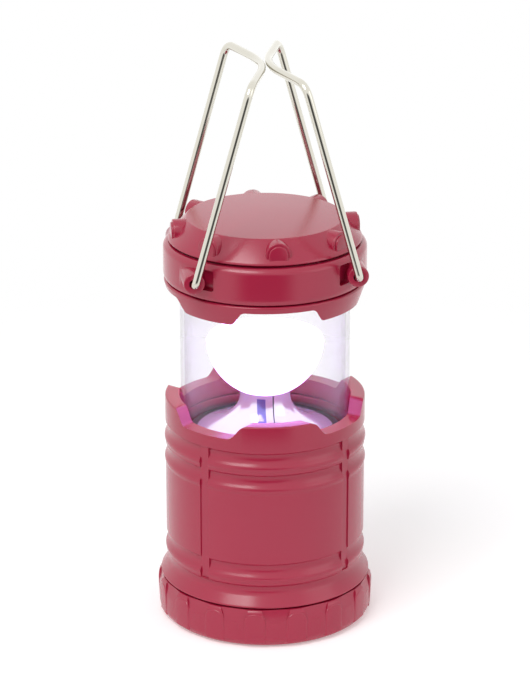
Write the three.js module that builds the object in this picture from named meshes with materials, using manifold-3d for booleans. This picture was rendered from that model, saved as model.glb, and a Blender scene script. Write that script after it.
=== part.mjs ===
// A pull-up camping lantern. A barrel stands on a twist-off base cap and holds a battery core
// with a lamp bowl on top. A clear tube carries the head, which slides down over the lamp until
// its skirt tabs drop into the notches of the barrel's rim. Two wire handles swing on the head.
// Millimetres, +Z up, with the origin under the middle of the base.

import * as THREE from 'three';
import { mergeVertices } from 'three/addons/utils/BufferGeometryUtils.js';
import Module from 'manifold-3d';

const wasm = await Module();
wasm.setup();

// Clearances
const GAP = 0.3;            // between pieces that seat on each other
const SEAM = 0.4;           // open line left between two outer shells
const SLIDE_GAP = 0.35;     // between the clear tube and the barrel's collar

// Barrel
const BARREL_RADIUS = 29;
const BARREL_WALL = 1.8;
const FLARE = 1.65;         // how far the foot of the barrel flares out
const FLARE_HEIGHT = 2.8;
const COLLAR_DEPTH = 9.3;   // thick ring inside the rim that guides the tube
const NOTCH_DEPTH = 4.2;
const NOTCH_FLOOR_HALF = 8.6;
const NOTCH_MOUTH_HALF = 11.7;
const NOTCH_COUNT = 4;
const GROOVE_DEPTH = 0.9;
const GROOVE_HEIGHT = 3.2;
const GROOVE_PITCH = 6.6;
const LOWER_GROOVE_RISE = 13.2;   // top edge of the upper one of the low pair, above the foot
const UPPER_GROOVE_DROP = 7.9;    // top edge of the upper one of the high pair, below the rim
const STRIP_WIDTH = 3.2;          // plain upright strips that interrupt the grooves

// Base cap
const CAP_HEIGHT = 11.6;
const CAP_OVERHANG = 2.8;   // ribs' radius beyond the barrel's
const CAP_FLOOR = 2;
const RIB_COUNT = 16;
const RIB_WIDTH = 5.6;
const RIB_HEIGHT = 0.5;
const RIB_TOP = 10.9;
const RIB_TURN = 9;         // first rib's angle, in degrees
const NECK_INSET = 0.7;     // the barrel's neck inside the cap, from the barrel's radius
const NECK_WALL = 1.7;
const NECK_DEPTH = 7;
const LUG_COUNT = 3;
const LUG_ANGLE = 42;
const LUG_HEIGHT = 2;
const LUG_DEPTH = 0.95;
const LUG_RISE = 0.6;       // lugs above the neck's lower end
const LEDGE_SLACK = 4;      // degrees that a ledge is narrower than its lug

// Cells, their cartridge and the core round them
const CELL_RADIUS = 5.25;
const CELL_LENGTH = 44.5;
const CELL_NUB = 1.2;
const CELL_COUNT = 3;
const CONTACT_THICKNESS = 0.5;
const SPRING_HEIGHT = 2;
const SPRING_WIRE = 0.35;
const CARTRIDGE_END = 1;
const CORE_WALL = 1.4;
const CORE_PLATE = 1.2;
const CORE_FLANGE = 2;
const CORE_FLANGE_RISE = 2;       // flange above the barrel's foot
const SCREW_BOSS_RADIUS = 2.6;
const SCREW_BOSS_HEIGHT = 4.3;
const SCREW_SHANK = 0.9;
const SCREW_HEAD = 1.9;
const SCREW_HEAD_HEIGHT = 1.2;
const CORE_SCREW_COUNT = 3;
const CORE_ROOM = 0.5;            // round the cells inside the core
const CELL_SPACING = 0.5;
const CELL_PROUD = 0.4;           // cells stand this far out of their carrier
const DECK_ROOM = 0.8;            // between the core's top deck and the sliding tube
const SCREW_BOSS_INSET = 0.7;
const TERMINAL_RADIUS = 1.9;
const COIL_OUTER = 6.5;
const COIL_INNER = 3.5;
const COIL_TURNS = 2.5;

// Tube and its stop
const TUBE_RADIUS = 24.5;
const TUBE_WALL = 1.2;
const STOP_HEIGHT = 2.3;
const TRAVEL_CLEARANCE = 1.3;     // left under the tube when the head is down
const RAIL_THICKNESS = 0.4;
const RAIL_WIDTH = 2.6;
const RAIL_TURN = 8;
const RIM_ABOVE_CORE = 11.6;
const SEAL_RADIUS = 0.55;
const SEAL_RISE = 2.2;            // middle of the tube's seal above the collar's lower edge
const SEAL_ROOM = 0.9;            // half height of the seal's groove

// Head
const SKIRT_TAPER = 1.6;
const SKIRT_RISE = 2;             // plain skirt above its gaps
const SKIRT_SPIGOT = 3;
const BAND_HEIGHT = 10.6;
const BAND_WALL = 2.6;
const BAND_STEP = 0.1;
const BAND_ROUND = 1.1;           // rounding of the band's edges
const TOP_RISE = 6.5;
const TOP_DISC_INSET = 6.6;
const TOP_WALL = 1.8;
const TOP_SPIGOT = 4.4;
const TOP_FOOT_INSET = 1.2;       // foot of the cap's slope inside the barrel's radius
const TOP_LUG_STEP = 0.8;         // inner arch of a lug inside its outer one
const SPIGOT_WALL = 1.3;
const POST_LIP = 0.2;
const SCREW_BITE = 6;             // head screw's length in its post
const TOP_LUG_COUNT = 8;
const TOP_LUG_WIDTH = 7;
const TOP_LUG_REACH = 2;          // outer face of a lug, inside the barrel's radius
const FLANGE_THICKNESS = 1.5;
const POST_RADIUS = 2.2;
const HEAD_SCREW_COUNT = 4;
const LINER_THICKNESS = 0.6;
const LINER_INSET = 0.2;

// Lamp
const BOWL_WALL = 1.2;
const BOWL_SHOULDER = 0.8;        // the bowl's rim stops this far under its centre
const BOWL_MOUTH = 8;
const BOWL_ROOM = 1.6;            // between the bowl and the head's flange sliding over it
const LID_THICKNESS = 1;
const LID_INSET = 0.4;            // lid's edge inside the bowl's radius
const CONE_WALL = 0.9;
const CONE_NECK = 7.3;
const CONE_INSET = 2.5;           // foot of the flare inside the core's deck
const CONE_FLARE = 3;             // power that the flare grows by
const LEAD_HOLE = 2.2;
const BOWL_LIP = 0.4;             // the mouth's inner edge above its outer one
const BOARD_ROOM = 0.54;          // round the board inside the mouth
const BOARD_THICKNESS = 1.2;
const LED_SIZE = 2.2;
const LED_HEIGHT = 0.8;
const LED_COUNT = 3;
const LEAD_RADIUS = 0.5;

// Handles
const WIRE_RADIUS = 1.15;
const HANDLE_RISE = 56;           // from the pivots up to the crossbar
const HANDLE_BULGE = 6.1;         // crossbar's bow towards the middle
const PIVOT_INSET = 6.05;         // pivot axis inside the band's radius
const BOSS_RADIUS = 3;
const BOSS_STAND_OFF = 5.6;       // boss face beyond the band's wall
const BOSS_ROOT = 5.2;            // boss behind the band's wall
const POCKET_WIDTH = 4.4;         // pocket in the band, on the inner side of each boss
const POCKET_DEPTH = 1.7;
const POCKET_DROP = 2.6;          // pocket below and above the pivot
const POCKET_RISE = 3.4;
const POCKET_OFFSET = 0.6;        // middle of the pocket, in from the boss's side
const FOOT_DEPTH = 5.6;           // wire inside its boss
const FOOT_BEND = 1.8;
const TOP_BEND = 4;
const BOW_BEND = 11;

const SIDES = 36;                 // round shells
const FINE = 16;                  // small round pieces
const MEDIUM = 24;                // lamp and core

const degrees = THREE.MathUtils.degToRad;

// A closed three.js geometry as a solid that can be joined and cut.
function solid(geometry) {
  const bare = new THREE.BufferGeometry();
  bare.setAttribute('position', geometry.getAttribute('position'));
  bare.setIndex(geometry.getIndex());
  const merged = mergeVertices(bare, 1e-4);
  const corners = merged.getIndex().array;
  const kept = [];
  for (let i = 0; i < corners.length; i += 3) {
    const [a, b, c] = corners.slice(i, i + 3);
    if (a !== b && b !== c && c !== a) kept.push(a, b, c);
  }
  return new wasm.Manifold(new wasm.Mesh({
    numProp: 3,
    vertProperties: new Float32Array(merged.getAttribute('position').array),
    triVerts: new Uint32Array(kept),
  }));
}

// An outline of [radius, height] points, listed up the outside, turned about Z.
function turned(outline, sides = SIDES) {
  const points = outline.map(([radius, height]) => new THREE.Vector2(radius, height));
  return solid(new THREE.LatheGeometry(points, sides).rotateX(Math.PI / 2));
}

// A ring with a plain rectangular section.
function ring(inner, outer, bottom, top, sides = SIDES) {
  return turned([[inner, bottom], [outer, bottom], [outer, top], [inner, top], [inner, bottom]], sides);
}

// A cylinder about the Z axis itself.
function disc(radius, bottom, top, sides = FINE) {
  return turned([[0, bottom], [radius, bottom], [radius, top], [0, top]], sides);
}

// An upright cylinder beside the axis.
function peg(radius, bottom, top, x, y, sides = FINE) {
  const shape = new THREE.CylinderGeometry(radius, radius, top - bottom, sides);
  return solid(shape.rotateX(Math.PI / 2).translate(x, y, (bottom + top) / 2));
}

// A cylinder that lies along Y.
function pegAlongY(radius, near, far, x, z, sides = FINE) {
  const shape = new THREE.CylinderGeometry(radius, radius, Math.abs(far - near), sides);
  return solid(shape.translate(x, (near + far) / 2, z));
}

// A box that reaches from one radius to another, turned to an angle about Z.
function radialBox(width, inner, outer, bottom, top, angle) {
  const box = new THREE.BoxGeometry(outer - inner, width, top - bottom);
  box.translate((inner + outer) / 2, 0, (bottom + top) / 2);
  return solid(box.rotateZ(degrees(angle)));
}

// A flat outline, [across, height] points or a Shape, pushed outwards between two radii.
function radialPrism(outline, inner, outer, angle) {
  const shape = Array.isArray(outline)
    ? new THREE.Shape(outline.map(([across, height]) => new THREE.Vector2(across, height)))
    : outline;
  const prism = new THREE.ExtrudeGeometry(shape, {
    depth: outer - inner,
    bevelEnabled: false,
    curveSegments: 4,
  });
  prism.translate(0, 0, inner).rotateX(Math.PI / 2).rotateZ(Math.PI);
  return solid(prism.rotateZ(degrees(angle) - Math.PI / 2));
}

function joined(solids) {
  return solids.reduce((whole, piece) => whole.add(piece));
}

function cutBy(body, cutters) {
  return cutters.reduce((rest, cutter) => rest.subtract(cutter), body);
}

// Angles of evenly spaced copies about Z.
function around(count, first = 0) {
  return Array.from({ length: count }, (_, i) => first + (i * 360) / count);
}

function polar(radius, angle) {
  return [radius * Math.cos(degrees(angle)), radius * Math.sin(degrees(angle))];
}

// An arch with straight sides and a half-round top.
function archShape(width, bottom, top) {
  const half = width / 2;
  const shape = new THREE.Shape();
  shape.moveTo(-half, bottom);
  shape.lineTo(half, bottom);
  shape.lineTo(half, top - half);
  shape.absarc(0, top - half, half, 0, Math.PI, false);
  shape.lineTo(-half, bottom);
  return shape;
}

// A round wire through corner points, each rounded off over its own distance.
function wire(radius, corners, bends, steps, sides = 8) {
  const route = new THREE.CurvePath();
  let from = corners[0];
  for (let i = 1; i < corners.length - 1; i += 1) {
    const corner = corners[i];
    const back = corner.clone().sub(corners[i - 1]).setLength(bends[i - 1]);
    const ahead = corners[i + 1].clone().sub(corner).setLength(bends[i - 1]);
    const entry = corner.clone().sub(back);
    const leave = corner.clone().add(ahead);
    route.add(new THREE.LineCurve3(from, entry));
    route.add(new THREE.QuadraticBezierCurve3(entry, corner, leave));
    from = leave;
  }
  route.add(new THREE.LineCurve3(from, corners[corners.length - 1]));
  const section = new THREE.Shape();
  section.absarc(0, 0, radius, 0, Math.PI * 2, false);
  return solid(new THREE.ExtrudeGeometry(section, {
    steps,
    curveSegments: sides / 2,
    extrudePath: route,
  }));
}

// Heights, from the base up
const BARREL_FOOT = CAP_HEIGHT + SEAM;
const CAP_CONTACT_Z = CAP_FLOOR + GAP;
const SPRING_Z = CAP_CONTACT_Z + CONTACT_THICKNESS + GAP;
const CARTRIDGE_CONTACT_Z = SPRING_Z + SPRING_HEIGHT + GAP;
const CARTRIDGE_Z = CARTRIDGE_CONTACT_Z + CONTACT_THICKNESS + GAP;
const CELL_Z = CARTRIDGE_Z + CARTRIDGE_END + GAP;
const CARTRIDGE_TOP = CELL_Z + CELL_LENGTH + GAP + CARTRIDGE_END;
const BUTTON_Z = CARTRIDGE_TOP + GAP;
const CORE_CEILING = BUTTON_Z + CONTACT_THICKNESS + GAP;
const CORE_TOP = CORE_CEILING + CORE_PLATE;
const RIM_Z = CORE_TOP + RIM_ABOVE_CORE;
const NOTCH_FLOOR = RIM_Z - NOTCH_DEPTH;
const COLLAR_Z = RIM_Z - COLLAR_DEPTH;
const FLANGE_Z = BARREL_FOOT + CORE_FLANGE_RISE;
const SCREW_BOSS_Z = FLANGE_Z + CORE_FLANGE + GAP;
const SCREW_BOSS_TOP = SCREW_BOSS_Z + SCREW_BOSS_HEIGHT;
const TUBE_BOTTOM = COLLAR_Z - SEAM - STOP_HEIGHT;
const TRAVEL = TUBE_BOTTOM - SCREW_BOSS_TOP - TRAVEL_CLEARANCE;
const TAB_BOTTOM = NOTCH_FLOOR + GAP + TRAVEL;
const SKIRT_EDGE = RIM_Z + GAP + TRAVEL;
const SKIRT_TOP = SKIRT_EDGE + SKIRT_RISE;
const HEAD_FLANGE_Z = SKIRT_TOP + GAP + SEAM;
const HEAD_FLANGE_TOP = HEAD_FLANGE_Z + FLANGE_THICKNESS;
const TUBE_TOP = HEAD_FLANGE_Z - GAP;
const BAND_BOTTOM = SKIRT_TOP + SEAM;
const BAND_TOP = BAND_BOTTOM + BAND_HEIGHT;
const TOP_BOTTOM = BAND_TOP + SEAM;
const TOP_Z = TOP_BOTTOM + TOP_RISE;
const CEILING_Z = TOP_Z - TOP_WALL;
const LINER_BOTTOM = CEILING_Z - GAP - LINER_THICKNESS;
const LID_TOP = LINER_BOTTOM - TRAVEL - GAP;
const BOWL_RIM = LID_TOP - LID_THICKNESS - GAP;
const PIVOT_Z = BAND_BOTTOM + BAND_HEIGHT / 2 + GAP;

// Radii
const BARREL_INNER = BARREL_RADIUS - BARREL_WALL;
const COLLAR_INNER = TUBE_RADIUS + SLIDE_GAP;
const TUBE_INNER = TUBE_RADIUS - TUBE_WALL;
const RAIL_OUTER = BARREL_INNER - GAP;
const BRIDGE_OUTER = RAIL_OUTER - RAIL_THICKNESS - GAP;
const STOP_OUTER = BRIDGE_OUTER - RAIL_THICKNESS - GAP;
const NECK_OUTER = BARREL_RADIUS - NECK_INSET;
const NECK_INNER = NECK_OUTER - NECK_WALL;
const LUG_OUTER = NECK_OUTER + LUG_DEPTH;
const CAP_INNER = LUG_OUTER + SLIDE_GAP;
const CAP_RADIUS = BARREL_RADIUS + CAP_OVERHANG;
const BAND_RADIUS = BARREL_RADIUS + BAND_STEP;
const BAND_INNER = BAND_RADIUS - BAND_WALL;
const SPIGOT_OUTER = BAND_INNER - GAP;
const SPIGOT_INNER = SPIGOT_OUTER - SPIGOT_WALL;
const HEAD_POST_R = TUBE_INNER - SEAM - SCREW_HEAD;
const HEAD_FLANGE_INNER = HEAD_POST_R - POST_RADIUS - POST_LIP;
const BOWL_RADIUS = HEAD_FLANGE_INNER - BOWL_ROOM;
const BOWL_CENTRE = BOWL_RIM + BOWL_SHOULDER;
const CELL_CIRCLE = (CELL_RADIUS + CELL_SPACING / 2) / Math.sin(Math.PI / CELL_COUNT);
const CARTRIDGE_RADIUS = CELL_CIRCLE + CELL_RADIUS - CELL_PROUD;
const CORE_INNER = CELL_CIRCLE + CELL_RADIUS + CORE_ROOM;
const CORE_OUTER = CORE_INNER + CORE_WALL;
const DECK_RADIUS = TUBE_INNER - DECK_ROOM;
const TERMINAL_HOLE = TERMINAL_RADIUS + GAP;
const CORE_SCREW_R = BARREL_INNER - GAP - SCREW_BOSS_RADIUS - SCREW_BOSS_INSET;
const SCREW_HOLE = SCREW_SHANK + GAP;
const BAYONET_ANGLES = around(LUG_COUNT, 30);
const CORE_SCREW_ANGLES = around(CORE_SCREW_COUNT, 30);
const NOTCH_ANGLES = around(NOTCH_COUNT, 45);
const HEAD_SCREW_ANGLES = around(HEAD_SCREW_COUNT, 45);
const CUT_INNER = TUBE_INNER - 4;       // radii that the notches' cutters reach between
const CUT_OUTER = BARREL_RADIUS + 3;

// Barrel: one moulding with a thick collar inside its rim, a neck with bayonet lugs below, and
// three screw bosses for the core's flange. Grooves ring it between four upright strips.
function grooveCutter(top) {
  const overshoot = 1;
  const outside = BARREL_RADIUS + overshoot;
  const floor = BARREL_RADIUS - GROOVE_DEPTH;
  const upperSlope = GROOVE_HEIGHT / 4 / GROOVE_DEPTH;
  const lowerSlope = GROOVE_HEIGHT / 2 / GROOVE_DEPTH;
  const lowerEnd = top - GROOVE_HEIGHT - lowerSlope * overshoot;
  return turned([
    [outside, lowerEnd],
    [outside, top + upperSlope * overshoot],
    [floor, top - GROOVE_HEIGHT / 4],
    [floor, top - GROOVE_HEIGHT / 2],
    [outside, lowerEnd],
  ]);
}

function makeBarrel() {
  const neckBottom = BARREL_FOOT - NECK_DEPTH;
  const shell = turned([
    [NECK_INNER, neckBottom],
    [NECK_OUTER, neckBottom],
    [NECK_OUTER, BARREL_FOOT],
    [BARREL_RADIUS + FLARE, BARREL_FOOT],
    [BARREL_RADIUS + FLARE / 3, BARREL_FOOT + FLARE_HEIGHT / 2],
    [BARREL_RADIUS, BARREL_FOOT + FLARE_HEIGHT],
    [BARREL_RADIUS, RIM_Z],
    [COLLAR_INNER, RIM_Z],
    [COLLAR_INNER, COLLAR_Z],
    [BARREL_INNER, COLLAR_Z],
    [BARREL_INNER, BARREL_FOOT + 1],
    [NECK_INNER, BARREL_FOOT],
    [NECK_INNER, neckBottom],
  ]);
  const grooveTops = [
    BARREL_FOOT + LOWER_GROOVE_RISE,
    BARREL_FOOT + LOWER_GROOVE_RISE - GROOVE_PITCH,
    RIM_Z - UPPER_GROOVE_DROP,
    RIM_Z - UPPER_GROOVE_DROP - GROOVE_PITCH,
  ];
  const strips = NOTCH_ANGLES.map((angle) => (
    radialBox(STRIP_WIDTH, BARREL_INNER - 1, BARREL_RADIUS + 2, 0, RIM_Z, angle)
  ));
  const grooves = grooveTops.map((top) => cutBy(grooveCutter(top), strips));
  const notches = NOTCH_ANGLES.map((angle) => radialPrism([
    [-NOTCH_FLOOR_HALF, NOTCH_FLOOR],
    [NOTCH_FLOOR_HALF, NOTCH_FLOOR],
    [NOTCH_MOUTH_HALF, RIM_Z],
    [NOTCH_MOUTH_HALF, RIM_Z + 2],
    [-NOTCH_MOUTH_HALF, RIM_Z + 2],
    [-NOTCH_MOUTH_HALF, RIM_Z],
  ], CUT_INNER, CUT_OUTER, angle));
  const sealMiddle = COLLAR_Z + SEAL_RISE;
  const sealOuter = COLLAR_INNER + SEAL_RADIUS * 2 + CORE_ROOM;
  const sealRoom = ring(COLLAR_INNER - 1, sealOuter, sealMiddle - SEAL_ROOM, sealMiddle + SEAL_ROOM);
  const bosses = CORE_SCREW_ANGLES.flatMap((angle) => [
    peg(SCREW_BOSS_RADIUS, SCREW_BOSS_Z, SCREW_BOSS_TOP, ...polar(CORE_SCREW_R, angle)),
    radialBox(SCREW_BOSS_RADIUS, CORE_SCREW_R, BARREL_INNER + 0.5, SCREW_BOSS_Z, SCREW_BOSS_TOP, angle),
  ]);
  const pilots = CORE_SCREW_ANGLES.map((angle) => (
    peg(SCREW_HOLE, SCREW_BOSS_Z - 1, SCREW_BOSS_TOP - 0.8, ...polar(CORE_SCREW_R, angle), 8)
  ));
  const lugBottom = neckBottom + LUG_RISE;
  const lugRing = ring(NECK_OUTER - 0.5, LUG_OUTER, lugBottom, lugBottom + LUG_HEIGHT);
  const lugs = BAYONET_ANGLES.map((angle) => lugRing.intersect(sector(LUG_ANGLE, angle)));
  const body = joined([shell, ...bosses, ...lugs]);
  return cutBy(body, [...grooves, ...notches, ...pilots, sealRoom]);
}

// A tall wedge about Z that keeps one slice of a ring.
function sector(angleWide, angle) {
  const reach = CAP_RADIUS * 2;
  const half = degrees(angleWide / 2);
  const shape = new THREE.Shape([
    new THREE.Vector2(0, 0),
    new THREE.Vector2(reach * Math.cos(half), -reach * Math.sin(half)),
    new THREE.Vector2(reach * Math.cos(half), reach * Math.sin(half)),
  ]);
  const wedge = new THREE.ExtrudeGeometry(shape, { depth: RIM_Z, bevelEnabled: false });
  return solid(wedge.rotateZ(degrees(angle)));
}

// Base cap: a shallow cup with grip ribs outside and bayonet ledges inside, above the neck's lugs.
function makeBaseCap() {
  const valley = CAP_RADIUS - RIB_HEIGHT;
  const shell = turned([
    [0, 0.6],
    [CAP_RADIUS - 12, 0.6],
    [CAP_RADIUS - 12.6, 0],
    [CAP_RADIUS - 2.6, 0],
    [CAP_RADIUS - 1.1, 0.6],
    [valley, 2.2],
    [valley, CAP_HEIGHT - 4.1],
    [BARREL_RADIUS + FLARE - 0.3, CAP_HEIGHT],
    [CAP_INNER, CAP_HEIGHT],
    [CAP_INNER, CAP_FLOOR],
    [0, CAP_FLOOR],
  ]);
  const envelope = turned([
    [CAP_INNER + 0.5, 0.8],
    [CAP_RADIUS - 1.1, 0.8],
    [CAP_RADIUS, 2.4],
    [CAP_RADIUS, CAP_HEIGHT - 2.2],
    [CAP_RADIUS - 0.8, CAP_HEIGHT],
    [CAP_INNER + 0.5, CAP_HEIGHT],
    [CAP_INNER + 0.5, 0.8],
  ]);
  const ribs = around(RIB_COUNT, RIB_TURN).map((angle) => (
    radialPrism(archShape(RIB_WIDTH, 0.4, RIB_TOP), CAP_INNER + 0.6, CAP_RADIUS + 1, angle)
      .intersect(envelope)
  ));
  const ledgeBottom = BARREL_FOOT - NECK_DEPTH + LUG_RISE + LUG_HEIGHT + GAP;
  const ledgeRing = ring(NECK_OUTER + GAP, CAP_INNER + 0.5, ledgeBottom, ledgeBottom + LUG_HEIGHT);
  const ledges = BAYONET_ANGLES.map((angle) => ledgeRing.intersect(sector(LUG_ANGLE - LEDGE_SLACK, angle)));
  return joined([shell, ...ribs, ...ledges]);
}

function makeCapSeal() {
  const bottom = BARREL_FOOT - NECK_DEPTH + LUG_RISE + LUG_HEIGHT * 2 + GAP * 2;
  return ring(NECK_OUTER + GAP, CAP_INNER - GAP, bottom, bottom + 1);
}

// Cap spring: a flat conical coil that presses on the cartridge.
function makeCapSpring() {
  const coil = new THREE.Curve();
  coil.getPoint = (t, target = new THREE.Vector3()) => {
    const angle = t * COIL_TURNS * Math.PI * 2;
    const radius = COIL_OUTER + (COIL_INNER - COIL_OUTER) * t;
    const rise = SPRING_Z + SPRING_WIRE + t * (SPRING_HEIGHT - SPRING_WIRE * 2);
    return target.set(radius * Math.cos(angle), radius * Math.sin(angle), rise);
  };
  const section = new THREE.Shape();
  section.absarc(0, 0, SPRING_WIRE, 0, Math.PI * 2, false);
  return solid(new THREE.ExtrudeGeometry(section, { steps: 40, curveSegments: 2, extrudePath: coil }));
}

// Cartridge: a moulded carrier with three open bores that the cells press into from the side.
function makeCartridge() {
  const body = disc(CARTRIDGE_RADIUS, CARTRIDGE_Z, CARTRIDGE_TOP, MEDIUM);
  const bores = around(CELL_COUNT, 90).map((angle) => (
    peg(CELL_RADIUS + GAP, CELL_Z - GAP, CELL_Z + CELL_LENGTH + GAP, ...polar(CELL_CIRCLE, angle))
  ));
  return cutBy(body, bores);
}

// Cell: a plain can with its raised positive nub at the end that its place in the row needs.
function makeCell(index) {
  const nubUp = index % 2 === 0;
  const [x, y] = polar(CELL_CIRCLE, 90 + (index * 360) / CELL_COUNT);
  const low = nubUp ? CELL_Z : CELL_Z + CELL_NUB;
  const high = low + CELL_LENGTH - CELL_NUB;
  const can = peg(CELL_RADIUS, low, high, x, y, FINE);
  const nubBottom = nubUp ? high - 0.5 : CELL_Z;
  const nub = peg(CELL_RADIUS / 3, nubBottom, nubBottom + CELL_NUB + 0.5, x, y, 8);
  return can.add(nub);
}

// Core: a closed tube over the cartridge, with a flange that screws up into the barrel's bosses
// and a deck under the lamp.
function makeCore() {
  const bottom = CARTRIDGE_CONTACT_Z - 1;
  const flangeOuter = NECK_INNER - GAP;
  const shell = turned([
    [CORE_INNER, bottom],
    [CORE_OUTER, bottom],
    [CORE_OUTER, FLANGE_Z],
    [flangeOuter, FLANGE_Z],
    [flangeOuter, FLANGE_Z + CORE_FLANGE],
    [CORE_OUTER, FLANGE_Z + CORE_FLANGE],
    [CORE_OUTER, CORE_CEILING],
    [DECK_RADIUS, CORE_CEILING],
    [DECK_RADIUS, CORE_TOP],
    [TERMINAL_HOLE, CORE_TOP],
    [TERMINAL_HOLE, CORE_CEILING],
    [CORE_INNER, CORE_CEILING],
    [CORE_INNER, bottom],
  ], MEDIUM);
  const holes = CORE_SCREW_ANGLES.map((angle) => (
    peg(SCREW_HOLE, FLANGE_Z - 1, FLANGE_Z + CORE_FLANGE + 1, ...polar(CORE_SCREW_R, angle), 8)
  ));
  return cutBy(shell, holes);
}

function makeScrew(headBottom, headTop, tip, radius, angle) {
  const [x, y] = polar(radius, angle);
  const head = peg(SCREW_HEAD, headBottom, headTop, x, y, 8);
  const slot = solid(new THREE.BoxGeometry(SCREW_HEAD * 1.3, 0.5, 1).translate(x, y, headBottom));
  return head.add(peg(SCREW_SHANK, headTop - 0.1, tip, x, y, 8)).subtract(slot);
}

// Terminal: a rivet through the core's top plate, under the lamp's leads.
function makeTerminal() {
  const seat = CORE_TOP + GAP;
  return turned([
    [0, CORE_CEILING],
    [TERMINAL_RADIUS, CORE_CEILING],
    [TERMINAL_RADIUS, seat],
    [TERMINAL_RADIUS * 1.7, seat],
    [TERMINAL_RADIUS * 1.7, seat + CONTACT_THICKNESS],
    [0, seat + CONTACT_THICKNESS],
  ], 16);
}

// Reflector cone: a plated shell that flares from the lamp's neck down to the core's deck.
const BOWL_MOUTH_Z = BOWL_CENTRE - Math.sqrt(BOWL_RADIUS ** 2 - BOWL_MOUTH ** 2);
const CONE_TOP = BOWL_MOUTH_Z - GAP;
const CONE_BOTTOM = CORE_TOP + GAP;

function coneRadius(t) {
  const foot = DECK_RADIUS - CONE_INSET;
  return CONE_NECK + (foot - CONE_NECK) * (1 - t) ** CONE_FLARE;
}

function makeCone() {
  const levels = [0, 0.1, 0.22, 0.38, 0.6, 1];
  const rise = CONE_TOP - CONE_BOTTOM;
  const drop = CONE_WALL / rise;
  const outside = levels.map((t) => [coneRadius(t), CONE_BOTTOM + t * rise]);
  const inside = levels.slice(0, -1).map((t) => (
    [coneRadius(t + drop) - CONE_WALL / 2, CONE_BOTTOM + t * rise]
  ));
  const plate = [[LEAD_HOLE, CONE_TOP], [LEAD_HOLE, CONE_TOP - CONE_WALL]];
  const under = [CONE_NECK - CONE_WALL / 2, CONE_TOP - CONE_WALL];
  return turned([...outside, ...plate, under, ...inside.reverse(), outside[0]], MEDIUM);
}

// Diffuser bowl: a frosted part-sphere, open below over the lamps and above under its lid.
function makeBowl() {
  const arc = (radius, fromZ, toZ, count) => Array.from({ length: count + 1 }, (_, i) => {
    const from = Math.asin((fromZ - BOWL_CENTRE) / radius);
    const to = Math.asin((toZ - BOWL_CENTRE) / radius);
    const angle = from + ((to - from) * i) / count;
    return [radius * Math.cos(angle), BOWL_CENTRE + radius * Math.sin(angle)];
  });
  const outside = arc(BOWL_RADIUS, BOWL_MOUTH_Z, BOWL_RIM, 6);
  const inside = arc(BOWL_RADIUS - BOWL_WALL, BOWL_RIM, BOWL_MOUTH_Z + BOWL_LIP, 5);
  return turned([...outside, ...inside, outside[0]], MEDIUM);
}

// Lamp board: a round plate in the bowl's mouth, with three lamps on it.
const BOARD_Z = CONE_TOP + GAP;
const MOUTH_DROP = BOWL_CENTRE - BOWL_MOUTH_Z - BOWL_LIP;
const BOARD_RADIUS = Math.sqrt((BOWL_RADIUS - BOWL_WALL) ** 2 - MOUTH_DROP ** 2) - BOARD_ROOM;

function makeLed(angle) {
  const [x, y] = polar(BOARD_RADIUS * 0.55, angle);
  const bottom = BOARD_Z + BOARD_THICKNESS + GAP;
  const body = new THREE.BoxGeometry(LED_SIZE, LED_SIZE, LED_HEIGHT);
  return solid(body.translate(x, y, bottom + LED_HEIGHT / 2));
}

function makeLead(side) {
  const low = CORE_TOP + GAP * 2 + CONTACT_THICKNESS;
  const high = CONE_TOP - 0.1;
  const points = [
    new THREE.Vector3(side * 2.2, 0, low),
    new THREE.Vector3(side * 2.2, 0, low + (high - low) / 3),
    new THREE.Vector3(side * 1.2, 0, low + ((high - low) * 2) / 3),
    new THREE.Vector3(side * 1.2, 0, high),
  ];
  return wire(LEAD_RADIUS, points, [1.5, 1.5], 12, 6);
}

// Contact rails on the barrel's wall and the bridge on the stop ring that joins them when the
// head is up, which lights the lamp.
function makeRail(angle) {
  const bottom = (COLLAR_Z + FLANGE_Z) / 2;
  const strip = ring(RAIL_OUTER - RAIL_THICKNESS, RAIL_OUTER, bottom, COLLAR_Z - GAP);
  return strip.intersect(radialBox(RAIL_WIDTH, CORE_OUTER, BARREL_RADIUS, 0, RIM_Z, angle));
}

function makeBridge() {
  const strip = ring(BRIDGE_OUTER - RAIL_THICKNESS, BRIDGE_OUTER, TUBE_BOTTOM, TUBE_BOTTOM + STOP_HEIGHT);
  const width = RAIL_WIDTH + 2 * BARREL_INNER * Math.sin(degrees(RAIL_TURN));
  return strip.intersect(radialBox(width, STOP_OUTER / 2, BARREL_RADIUS, 0, RIM_Z, 90));
}

function makeTubeSeal() {
  const centre = COLLAR_INNER + SEAL_RADIUS + GAP / 2;
  const middle = COLLAR_Z + SEAL_RISE;
  const outline = Array.from({ length: 7 }, (_, i) => {
    const angle = (i / 6) * Math.PI * 2;
    return [centre + SEAL_RADIUS * Math.cos(angle), middle + SEAL_RADIUS * Math.sin(angle)];
  });
  return turned(outline);
}

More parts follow.
